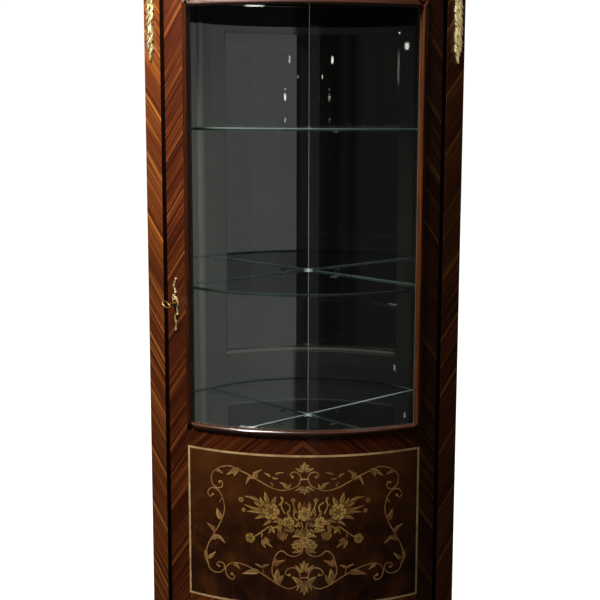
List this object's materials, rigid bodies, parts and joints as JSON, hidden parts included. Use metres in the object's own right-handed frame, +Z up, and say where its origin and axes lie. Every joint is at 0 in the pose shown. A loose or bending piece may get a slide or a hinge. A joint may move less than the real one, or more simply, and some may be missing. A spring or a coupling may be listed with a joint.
{
  "type": "corner curio cabinet",
  "caption": "Bow-front corner display cabinet: canted stiles, glazed bowed door over an inlaid panel, mirrored back walls, glass shelves, cornice and short feet.",
  "frame": {"origin": "centre of the bounding box in plan, on the floor", "axes": "+Z up, front of the cabinet towards -Y, the right-angled rear corner at +Y"},
  "size_m": [0.734, 0.5276, 1.766],
  "materials": {
    "striped_veneer": "polished veneer",
    "dark_moulding": "polished",
    "inlaid_panel": "polished inlay",
    "carcass_wood": "stained, satin",
    "pane_glass": "clear",
    "shelf_glass": "clear, polished edge",
    "mirror": "silvered",
    "gilt_bronze": "gilt, chased",
    "brass": "satin",
    "steel": "plain"
  },
  "bodies": {
    "carcass": {"base_rail": "striped_veneer", "bottom_board": "carcass_wood", "carcass_screws": "steel", "cornice_front": "dark_moulding", "cornice_left": "dark_moulding", "cornice_right": "dark_moulding", "frieze_rail": "striped_veneer", "left_back_wall": "carcass_wood", "left_chute": "gilt_bronze", "left_foot": "dark_moulding", "left_front_stile": "striped_veneer", "left_mirror": "mirror", "left_mirror_bead": "dark_moulding", "left_reveal_strip": "dark_moulding", "left_sabot": "gilt_bronze", "lock_strike": "brass", "lower_pivot_plate": "brass", "rear_block_lower": "carcass_wood", "rear_block_upper": "carcass_wood", "rear_foot": "carcass_wood", "right_back_wall": "carcass_wood", "right_chute": "gilt_bronze", "right_foot": "dark_moulding", "right_front_stile": "striped_veneer", "right_mirror": "mirror", "right_mirror_bead": "dark_moulding", "right_reveal_strip": "dark_moulding", "right_sabot": "gilt_bronze", "shelf_lower": "shelf_glass", "shelf_middle": "shelf_glass", "shelf_pins": "brass", "shelf_upper": "shelf_glass", "top_board": "carcass_wood", "top_panel": "dark_moulding", "upper_pivot_plate": "brass"},
    "door": {"door_bottom_rail": "striped_veneer", "door_glass": "pane_glass", "door_left_stile": "striped_veneer", "door_lower_panel": "inlaid_panel", "door_middle_rail": "striped_veneer", "door_right_stile": "striped_veneer", "door_screws": "steel", "door_top_rail": "striped_veneer", "escutcheon": "gilt_bronze", "glass_bead_bottom": "dark_moulding", "glass_bead_left": "dark_moulding", "glass_bead_right": "dark_moulding", "glass_bead_top": "dark_moulding", "glazing_moulding_bottom": "dark_moulding", "glazing_moulding_left": "dark_moulding", "glazing_moulding_right": "dark_moulding", "glazing_moulding_top": "dark_moulding", "lock_case": "brass", "lower_door_pivot": "brass", "upper_door_pivot": "brass"},
    "lock_follower": {"lock_follower": "brass"},
    "lock_bolt": {"lock_bolt": "brass"},
    "key": {"key": "gilt_bronze"}
  },
  "joints": [
    {"name": "door_hinge", "type": "hinge", "parent": "carcass", "child": "door", "pos_m": [0.30212, -0.12892, 0.94], "axis": [0, 0, 1], "range_deg": [0, 110]},
    {"name": "key_turn", "type": "hinge", "parent": "door", "child": "lock_follower", "pos_m": [-0.27874, -0.15057, 0.943], "axis": [0.5807, 0.8141, 0], "range_deg": [0, 90]},
    {"name": "bolt_slide", "type": "slide", "parent": "door", "child": "lock_bolt", "axis": [-0.8141, 0.5807, 0], "range_m": [0, 0.01]},
    {"name": "key_withdraw", "type": "slide", "parent": "lock_follower", "child": "key", "axis": [-0.5807, -0.8141, 0], "range_m": [0, 0.045]}
  ],
  "couplings": [
    {"joint": "bolt_slide", "follows": "key_turn", "m_per_rad": 0.006303}
  ]
}
